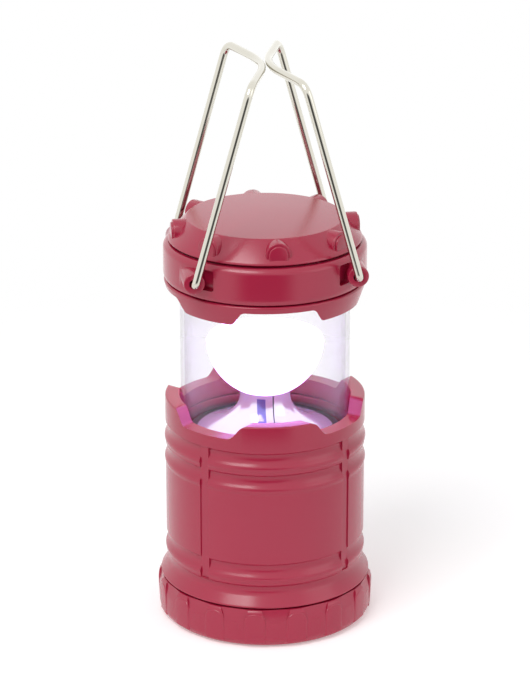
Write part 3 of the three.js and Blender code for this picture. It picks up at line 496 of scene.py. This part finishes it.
def make_mirror_plating():
    """Vacuum-metallised white plastic under lacquer: a pale pearl mirror that takes up the glow,
    with a lavender bar up its front that is a painted reflection, and a thin dark mould line."""
    material, tree = start_material("vacuum_plated_mirror")
    place = add_node(tree, "ShaderNodeTexCoord").outputs["Object"]
    peel = add_node(tree, "ShaderNodeTexNoise", Vector=place, Scale=1 / (2.5 * MM), Detail=1.0)
    relief = add_node(tree, "ShaderNodeBump", Strength=0.08, Distance=0.03 * MM, Height=peel.outputs["Fac"])
    spread = add_node(tree, "ShaderNodeSeparateXYZ", Vector=place)
    # Painted reflection: the lavender bar on the front stands in for a darker thing seen in the mirror.
    painted_reflection_bar = add_node(
        tree, "ShaderNodeMix", {"data_type": "RGBA"}, Factor=front_mark(tree, spread, -2.1, 1.2, 58.0, 67.5),
    )
    painted_reflection_bar.inputs[6].default_value = linear("#f1edfa")
    painted_reflection_bar.inputs[7].default_value = linear("#8a83cf")
    lined = add_node(
        tree, "ShaderNodeMix", {"data_type": "RGBA"}, Factor=front_mark(tree, spread, 1.35, 0.16, 56.0, 70.0),
    )
    tree.links.new(painted_reflection_bar.outputs[2], lined.inputs[6])
    lined.inputs[7].default_value = linear("#4a4258")
    surface = add_node(
        tree, "ShaderNodeBsdfPrincipled", Base_Color=lined.outputs[2], Roughness=0.16, Metallic=0.55,
        Normal=relief.outputs["Normal"],
    )
    add_node(tree, "ShaderNodeOutputMaterial", Surface=surface.outputs[0])
    return material


def make_plain_finish(name, colour, roughness, metallic=0.0, grain=0.4):
    """A plain inner finish with a fine grain in its gloss, for pieces that are hardly seen."""
    material, tree = start_material(name)
    place = add_node(tree, "ShaderNodeTexCoord").outputs["Object"]
    speck = add_node(tree, "ShaderNodeTexNoise", Vector=place, Scale=1 / (grain * MM), Detail=2.0)
    gloss = add_node(
        tree, "ShaderNodeMapRange", Value=speck.outputs["Fac"], To_Min=roughness * 0.85,
        To_Max=roughness * 1.15,
    )
    relief = add_node(tree, "ShaderNodeBump", Strength=0.1, Distance=0.02 * MM, Height=speck.outputs["Fac"])
    surface = add_node(
        tree, "ShaderNodeBsdfPrincipled", Base_Color=linear(colour), Roughness=gloss.outputs["Result"],
        Metallic=metallic, Normal=relief.outputs["Normal"],
    )
    add_node(tree, "ShaderNodeOutputMaterial", Surface=surface.outputs[0])
    return material


white_moulding = make_plain_finish("moulded_abs_white", "#eceae6", 0.45)

bowl_low, bowl_high = corners_of("diffuser_bowl")
bowl_radius = 17.0
bowl_centre = bowl_high.z + 0.8
bowl_mouth = 8.0
bowl_wall = 1.2


def bowl_arc(radius, low, high, count=20):
    """Points of an arc about the bowl's centre between two heights."""
    first, last = (math.asin((height - bowl_centre) / radius) for height in (low, high))
    angles = [first + (last - first) * k / count for k in range(count + 1)]
    return [(radius * math.cos(a), bowl_centre + radius * math.sin(a)) for a in angles]


bowl_outside = bowl_arc(bowl_radius, bowl_low.z, bowl_high.z)
bowl_inside = bowl_arc(bowl_radius - bowl_wall, bowl_high.z, bowl_low.z + 0.4)
bowl = spin_outline("lamp_bowl", bowl_outside + bowl_inside + bowl_outside[:1], steps=96)
frosted = make_frosted_bowl()
finish_piece(bowl, frosted, "base", "frosted", "diffuser_bowl")

lid_low, lid_high = corners_of("diffuser_lid")
lid_dish = 0.25
lid_outline = soften([
    (0, lid_low.z, 0),
    (lid_high.x, lid_low.z, 0.25),
    (lid_high.x, lid_high.z, 0.35),
    (lid_high.x - 1.6, lid_high.z, 0.2),
    (lid_high.x - 1.9, lid_high.z - lid_dish, 0.2),
    (0, lid_high.z - lid_dish, 0),
])[:-1]
lid = spin_outline("lamp_lid", lid_outline, steps=96)
finish_piece(lid, frosted, "base", "inner_white", "diffuser_lid")

ceiling_low, ceiling_high = corners_of("ceiling_reflector")
ceiling_bead = 0.15
ceiling = spin_outline("ceiling_reflector_shell", soften([
    (0, ceiling_low.z + ceiling_bead, 0),
    (ceiling_high.x - 1.5, ceiling_low.z + ceiling_bead, 0.2),
    (ceiling_high.x - 1.3, ceiling_low.z, 0.1),
    (ceiling_high.x, ceiling_low.z, 0.25),
    (ceiling_high.x, ceiling_high.z, 0.1),
    (0, ceiling_high.z, 0),
])[:-1], steps=96)
finish_piece(ceiling, white_moulding, "head", "inner_white", "ceiling_reflector")

cone_low, cone_high = corners_of("reflector_cone")
cone_neck = bowl_mouth - 0.7
cone_rise = cone_high.z - cone_low.z
cone_wall = 0.9
cone_steps = 24
lead_hole = 2.2


def cone_flare(share):
    """The trumpet's radius at a share of its height, from its wide foot to its neck."""
    return cone_neck + (cone_high.x - cone_neck) * (1 - share) ** 3


cone_shares = [k / cone_steps for k in range(cone_steps + 1)]
cone_outside = [(cone_flare(share), cone_low.z + cone_rise * share) for share in cone_shares]
cone_inside = [
    (cone_flare(share + cone_wall / cone_rise) - cone_wall / 2, cone_low.z + cone_rise * share)
    for share in cone_shares if share < 0.92
]
plate_low = cone_high.z - cone_wall
cone_plate = [(lead_hole, cone_high.z), (lead_hole, plate_low), (cone_neck - cone_wall, plate_low)]
cone_outline = cone_outside + cone_plate + cone_inside[::-1] + cone_outside[:1]
cone = spin_outline("reflector_cone_shell", cone_outline, steps=128)
finish_piece(cone, make_mirror_plating(), "base", "reflector", "reflector_cone")

# ---------------------------------------------------------------------------------------------
# Head skirt. A moulded ABS ring under the band. Its four tabs drop into the barrel's notches
# when the head is pushed down, and four screws pull it up to the top cap.
# ---------------------------------------------------------------------------------------------

skirt_low, skirt_high = corners_of("head_skirt")
spigot_rise = 3.0
skirt_top = skirt_high.z - spigot_rise
skirt_edge = skirt_low.z + notch_depth
skirt_taper = 1.6
skirt_inner = tube_high.x + tube_clearance
spigot_outer = barrel_radius - 2.8
spigot_inner = 24.9
flange_inner = 18.6
flange_low = skirt_top + 0.7
flange_high = skirt_top + 2.2
skirt = spin_outline("head_skirt_shell", soften([
    (skirt_inner, skirt_low.z, 0.3),
    (barrel_radius - skirt_taper, skirt_low.z, 0.45),
    (barrel_radius, skirt_top - 0.35, 0.3),
    (barrel_radius - 0.5, skirt_top, 0.2),
    (spigot_outer, skirt_top, 0.1),
    (spigot_outer, skirt_high.z, 0.2),
    (spigot_inner, skirt_high.z, 0.2),
    (spigot_inner, flange_high, 0.1),
    (flange_inner, flange_high, 0.2),
    (flange_inner, flange_low, 0.2),
    (skirt_inner, flange_low, 0.1),
]), steps=240)
tab_foot_half = 12.65
tab_root_half = 10.4
gap_half = cutter_half + 1
gap = prism("gap", soften([
    (-gap_half, skirt_low.z - 0.4, 0),
    (-tab_foot_half, skirt_low.z, 1.3),
    (-tab_root_half, skirt_edge, 1.1),
    (tab_root_half, skirt_edge, 1.1),
    (tab_foot_half, skirt_low.z, 1.3),
    (gap_half, skirt_low.z - 0.4, 0),
    (gap_half, skirt_low.z - 3, 0),
    (-gap_half, skirt_low.z - 3, 0),
], 6)[:-1], cut_from, cut_to)
fuse(skirt, ring_of(gap, 4), "DIFFERENCE")
finish_piece(skirt, shell_plastic, "head", "shell", "head_skirt")

# ---------------------------------------------------------------------------------------------
# Head band. The plain ABS ring that carries the handles: four bosses face along its width, each
# bored for a wire foot, with a small pocket in the band beside it.
# ---------------------------------------------------------------------------------------------

band_low, band_high = corners_of("head_band")
handle_low, handle_high = corners_of("handle_right")
wire_radius = 1.15
band_radius = band_high.x
band_round = 1.1
band_inner = band_radius - 2.6
pivot_x = handle_high.x - wire_radius
pivot_z = handle_low.z + wire_radius
boss_radius = 3.0
boss_proud = 5.6
boss_sunk = 5.2
boss_face = math.sqrt(band_radius ** 2 - pivot_x ** 2) + boss_proud
bore_radius = 1.45
pocket_half = 2.2
pocket_depth = 1.7
pocket_gap = 0.6
band = spin_outline("head_band_shell", soften([
    (band_inner, band_low.z, 0.2),
    (band_radius - 0.45, band_low.z, 0.25),
    (band_radius, band_low.z + band_round, 0.6),
    (band_radius, band_high.z - band_round, 0.8),
    (band_radius - band_round, band_high.z, 0.4),
    (band_inner, band_high.z, 0.2),
]), steps=240)


def rod(radius, middle, length, vertices, tilt=0.0):
    """A round rod about its middle, in millimetres, upright unless it is tilted about X."""
    clear_selection()
    bpy.ops.mesh.primitive_cylinder_add(
        vertices=vertices, radius=radius * MM, depth=length * MM, location=Vector(middle) * MM,
        rotation=(tilt, 0, 0),
    )
    bpy.ops.object.transform_apply(location=True, rotation=True, scale=True)
    return bpy.context.object


def boss_parts(side, end):
    """The boss at one corner of the band, its bore and the pocket beside it."""
    root = boss_face - boss_proud - boss_sunk
    middle = (side * pivot_x, end * (boss_face + root) / 2, pivot_z)
    boss = rod(boss_radius, middle, boss_face - root, 48, math.pi / 2)
    outer = (boss_face - 0.1) * MM
    bevel_edges(boss, lambda a, b: min(end * a.y, end * b.y) > outer, 0.4, 3)
    bore = rod(bore_radius, (side * pivot_x, end * boss_face, pivot_z), boss_proud * 2, 32, math.pi / 2)
    pocket = block(
        "pocket", (band_radius - pocket_depth, -pocket_half, pivot_z - 2.6),
        (band_radius + 2, pocket_half, pivot_z + 3.4),
    )
    wall = band_radius * MM
    bevel_edges(pocket, lambda a, b: min(a.x, b.x) < wall and abs(a.x - b.x) > MM / 10, 0.7, 3)
    pocket_x = pivot_x - boss_radius - pocket_gap
    pocket_y = math.sqrt(band_radius ** 2 - pocket_x ** 2)
    pocket.data.transform(Matrix.Rotation(math.atan2(end * pocket_y, side * pocket_x), 4, "Z"))
    return boss, bore, pocket


corners = [boss_parts(side, end) for side in (-1, 1) for end in (-1, 1)]
fuse(band, [pocket for _, _, pocket in corners], "DIFFERENCE")
fuse(band, [boss for boss, _, _ in corners])
fuse(band, [bore for _, bore, _ in corners], "DIFFERENCE")
finish_piece(band, shell_plastic, "head", "shell", "head_band")

# ---------------------------------------------------------------------------------------------
# Top cap. The head's ABS lid: a flat disc, a sloped side and eight arched lugs on the slope,
# with screw posts moulded inside.
# ---------------------------------------------------------------------------------------------

top_low, top_high = corners_of("top_cap")
top_foot = band_high.z + seam_gap
disc_radius = barrel_radius - 6.6
lid_wall = 1.8
plug_inner = spigot_inner
plug_outer = 26.2
plug_low = top_low.z + 4.5
top_cap = spin_outline("top_cap_shell", soften([
    (plug_inner, plug_low, 0.2),
    (plug_outer, plug_low, 0.2),
    (plug_outer, top_foot, 0.1),
    (barrel_radius - 2.0, top_foot, 0.1),
    (barrel_radius - 1.25, top_foot + 0.4, 0.15),
    (barrel_radius - 1.45, top_foot + 1.0, 0.3),
    (disc_radius, top_high.z, 0.25),
    (0, top_high.z - 0.05, 0),
    (0, top_high.z - lid_wall, 0),
    (disc_radius - 0.9, top_high.z - lid_wall, 0.3),
    (plug_inner, top_foot + 1.1, 0.3),
]), steps=240)

lug_outer = barrel_radius - 2
lug_width = 7.0
lug_foot = top_foot + 1.2
arch_steps = 24


def arched_lug(width, inner, outer, top):
    """A lug with upright sides and a half-round top, its outer edge softened."""
    half = width / 2
    turns = [math.pi / arch_steps * k for k in range(arch_steps + 1)]
    arch = [(half * math.cos(turn), top - half + half * math.sin(turn)) for turn in turns]
    lug = prism("lug", [(-half, lug_foot), (half, lug_foot)] + arch, inner, outer)
    bevel_edges(lug, lambda a, b: min(a.x, b.x) > (outer - 0.05) * MM, 0.3, 3)
    return lug


fuse(top_cap, ring_of(arched_lug(lug_width, disc_radius - 0.6, lug_outer - 0.5, top_high.z - 0.1), 8))
fuse(top_cap, ring_of(arched_lug(lug_width - 1.6, disc_radius, lug_outer, top_high.z - 0.9), 8))
post_radius = 2.2
post_ring = 21.0
post_top = top_high.z - 1.0
for k in range(4):
    angle = math.radians(45 + 90 * k)
    middle = (post_ring * math.cos(angle), post_ring * math.sin(angle), (post_top + top_low.z) / 2)
    fuse(top_cap, [rod(post_radius, middle, post_top - top_low.z, 32)])
finish_piece(top_cap, shell_plastic, "head", "shell", "top_cap")

# ---------------------------------------------------------------------------------------------
# Handles. Two bails of nickel-plated steel wire. The feet turn in the band's bosses, the legs
# lean in, and each crossbar bows to the middle, where it meets its twin.
# ---------------------------------------------------------------------------------------------


def make_nickel_wire():
    """Drawn steel wire, bright nickel plated: fine die lines along it and a warm grey mirror."""
    material, tree = start_material("nickel_plated_drawn_wire")
    place = add_node(tree, "ShaderNodeTexCoord").outputs["Object"]
    lines = add_node(tree, "ShaderNodeTexNoise", Vector=place, Scale=1 / (0.8 * MM), Detail=3.0)
    gloss = add_node(tree, "ShaderNodeMapRange", Value=lines.outputs["Fac"], To_Min=0.08, To_Max=0.15)
    relief = add_node(tree, "ShaderNodeBump", Strength=0.1, Distance=0.02 * MM, Height=lines.outputs["Fac"])
    surface = add_node(
        tree, "ShaderNodeBsdfPrincipled", Base_Color=linear("#c9c6bb"), Metallic=1.0,
        Roughness=gloss.outputs["Result"], Normal=relief.outputs["Normal"],
    )
    add_node(tree, "ShaderNodeOutputMaterial", Surface=surface.outputs[0])
    return material


nickel = make_nickel_wire()
leg_y = handle_high.y - wire_radius
crossbar_z = handle_high.z - wire_radius
foot_bend = 1.8
top_bend = 4
bow_bend = 11
apex_x = 1.35
leg_top_x = apex_x + 6.1
foot_sunk = boss_proud - 0.3
softening = bow_bend / (2 * leg_y)
bow_corner = (apex_x - leg_top_x * softening) / (1 - softening)


def bent_route(points, bends, count=14):
    """A route through corner points, each corner swept over its own distance."""
    route = [points[0]]
    for i, bend in enumerate(bends):
        corner = points[i + 1]
        entry = corner + (points[i] - corner).normalized() * bend
        leave = corner + (points[i + 2] - corner).normalized() * bend
        for k in range(count + 1):
            t = k / count
            route.append(entry * (1 - t) ** 2 + corner * 2 * t * (1 - t) + leave * t * t)
    return route + [points[-1]]


def make_handle(side, name, node):
    """Bends one bail along its route and draws the wire round it."""
    foot_y = boss_face - foot_sunk
    half = [(pivot_x, foot_y, pivot_z), (pivot_x, leg_y, pivot_z), (leg_top_x, leg_y, crossbar_z)]
    front = [Vector((side * x, -y, z)) * MM for x, y, z in half]
    back = [Vector((side * x, y, z)) * MM for x, y, z in half[::-1]]
    points = front + [Vector((side * bow_corner, 0, crossbar_z)) * MM] + back
    bends = (foot_bend, top_bend, bow_bend, top_bend, foot_bend)
    route = bent_route(points, [bend * MM for bend in bends])
    curve = bpy.data.curves.new(name, "CURVE")
    curve.dimensions = "3D"
    curve.bevel_depth = wire_radius * MM
    curve.bevel_resolution = 6
    curve.use_fill_caps = True
    spline = curve.splines.new("POLY")
    spline.points.add(len(route) - 1)
    for point, place in zip(spline.points, route):
        point.co = (*place, 1)
    handle = bpy.data.objects.new(name, curve)
    bpy.context.collection.objects.link(handle)
    work_on(handle)
    bpy.ops.object.convert(target="MESH")
    finish_piece(bpy.context.object, nickel, node, "handle_wire", node)


make_handle(-1, "handle_wire_left", "handle_left")
make_handle(1, "handle_wire_right", "handle_right")

# ---------------------------------------------------------------------------------------------
# Inner pieces. The battery core with its cartridge, cells, contacts, screws, seals and leads,
# which keep their own shapes and take the finishes of what they are made of.
# ---------------------------------------------------------------------------------------------

black_moulding = make_plain_finish("moulded_abs_black", "#26272a", 0.5)
nitrile = make_plain_finish("nitrile_rubber", "#1b1b1c", 0.8)
pressed_brass = make_plain_finish("pressed_brass", "#c8a862", 0.3, 1.0, 0.8)
zinc_steel = make_plain_finish("zinc_plated_steel", "#b9bab8", 0.35, 1.0, 0.6)
film_sleeve = make_plain_finish("printed_film_sleeve", "#4c5560", 0.35)
red_insulation = make_plain_finish("pvc_insulation_red", "#b5202a", 0.5)
black_insulation = make_plain_finish("pvc_insulation_black", "#202022", 0.5)
inner_finishes = {
    "battery_core": black_moulding,
    "led_board": white_moulding,
    "cartridge": black_moulding,
    "tube_seal": nitrile,
    "cap_seal": nitrile,
    "contact_": pressed_brass,
    "cartridge_button": pressed_brass,
    "core_terminal": pressed_brass,
    "cartridge_disc": zinc_steel,
    "cap_contact": zinc_steel,
    "cap_spring": zinc_steel,
    "core_screw": zinc_steel,
    "head_screw": zinc_steel,
    "cell_": film_sleeve,
    "lead_positive": red_insulation,
    "lead_negative": black_insulation,
    "led_": frosted,
}
replaced_nodes = {
    "barrel", "base_cap", "clear_tube", "tube_stop_ring", "diffuser_bowl", "diffuser_lid",
    "ceiling_reflector", "reflector_cone", "head_skirt", "head_band", "top_cap",
    "handle_left", "handle_right",
}
for name, node in nodes.items():
    if name in replaced_nodes:
        continue
    start = max((key for key in inner_finishes if name.startswith(key)), key=len)
    node.data.materials.clear()
    node.data.materials.append(inner_finishes[start])

# ---------------------------------------------------------------------------------------------
# Studio. A white paper floor that fades into a white surround, and soft lights from the upper
# left and the right. Glossy pieces see one dark patch of the surround, which draws their edges.
# ---------------------------------------------------------------------------------------------

clear_selection()
floor_radius = 0.3
bpy.ops.mesh.primitive_circle_add(vertices=64, radius=floor_radius, fill_type="NGON")
floor = bpy.context.object
floor.name = "studio_floor"
floor.data.transform(Matrix.Translation((0, 0, -0.0002)))
floor_material, floor_tree = start_material("white_paper_floor")
floor_place = add_node(floor_tree, "ShaderNodeTexCoord").outputs["Object"]
floor_reach = add_node(floor_tree, "ShaderNodeVectorMath", {"operation": "LENGTH"}, Vector=floor_place)
floor_fade = add_node(
    floor_tree, "ShaderNodeMapRange", {"interpolation_type": "SMOOTHSTEP"},
    Value=floor_reach.outputs["Value"], From_Min=0.12, From_Max=floor_radius, To_Min=1.0, To_Max=0.0,
)
floor_surface = add_node(
    floor_tree, "ShaderNodeBsdfPrincipled", Base_Color=linear("#f4f4f4"), Roughness=0.9,
    Emission_Color=linear("#ffffff"), Emission_Strength=0.3, Alpha=floor_fade.outputs["Result"],
)
add_node(floor_tree, "ShaderNodeOutputMaterial", Surface=floor_surface.outputs[0])
floor.data.materials.append(floor_material)

world = bpy.data.worlds.new("studio_surround")
bpy.context.scene.world = world
world.use_nodes = True
world.node_tree.nodes.clear()
sky = world.node_tree
sky_place = add_node(sky, "ShaderNodeTexCoord").outputs["Generated"]
toward_patch = add_node(sky, "ShaderNodeVectorMath", {"operation": "DOT_PRODUCT"}, Vector=sky_place)
toward_patch.inputs[1].default_value = (-0.14, -0.94, -0.3)
dim = add_node(
    sky, "ShaderNodeMapRange", {"interpolation_type": "SMOOTHSTEP"}, Value=toward_patch.outputs["Value"],
    From_Min=0.8, From_Max=0.95, To_Min=1.3, To_Max=0.1,
)
mirrored = add_node(sky, "ShaderNodeLightPath").outputs["Is Glossy Ray"]
strength = add_node(sky, "ShaderNodeMix", {"data_type": "FLOAT"}, Factor=mirrored)
strength.inputs[2].default_value = 0.6
sky.links.new(dim.outputs["Result"], strength.inputs[3])
seen = add_node(sky, "ShaderNodeLightPath").outputs["Is Camera Ray"]
shown = add_node(sky, "ShaderNodeMix", {"data_type": "FLOAT"}, Factor=seen)
sky.links.new(strength.outputs[0], shown.inputs[2])
shown.inputs[3].default_value = 1.0
surround = add_node(
    sky, "ShaderNodeBackground", Color=linear("#ffffff"), Strength=shown.outputs[0],
)
add_node(sky, "ShaderNodeOutputWorld", Surface=surround.outputs[0])


def add_softbox(name, place, aim, width, height, power):
    """A rectangular soft light at a place, turned to face its aim."""
    light = bpy.data.lights.new(name, "AREA")
    light.shape = "RECTANGLE"
    light.size = width
    light.size_y = height
    light.energy = power
    lamp = bpy.data.objects.new(name, light)
    bpy.context.collection.objects.link(lamp)
    lamp.location = place
    lamp.rotation_euler = (Vector(aim) - Vector(place)).to_track_quat("-Z", "Y").to_euler()


lantern_middle = (0, 0, 0.08)
add_softbox("key", (-0.42, -0.46, 0.85), lantern_middle, 0.5, 0.5, 4.6)
add_softbox("fill", (0.8, -0.5, 0.4), lantern_middle, 0.6, 0.6, 0.8)

aim = Vector((0, 0, 0.0817))
distance = 0.812
elevation = math.radians(19.74)
azimuth = math.radians(-8.15)
view_from = Vector((
    math.sin(azimuth) * math.cos(elevation), -math.cos(azimuth) * math.cos(elevation), math.sin(elevation),
))
camera = bpy.data.objects.new("camera", bpy.data.cameras.new("camera"))
bpy.context.collection.objects.link(camera)
camera.location = aim + view_from * distance
camera.rotation_euler = view_from.to_track_quat("Z", "Y").to_euler()
camera.data.lens = 147
camera.data.sensor_width = 36
camera.data.clip_start = 0.01
bpy.context.scene.camera = camera
bpy.context.scene.view_settings.view_transform = "Standard"
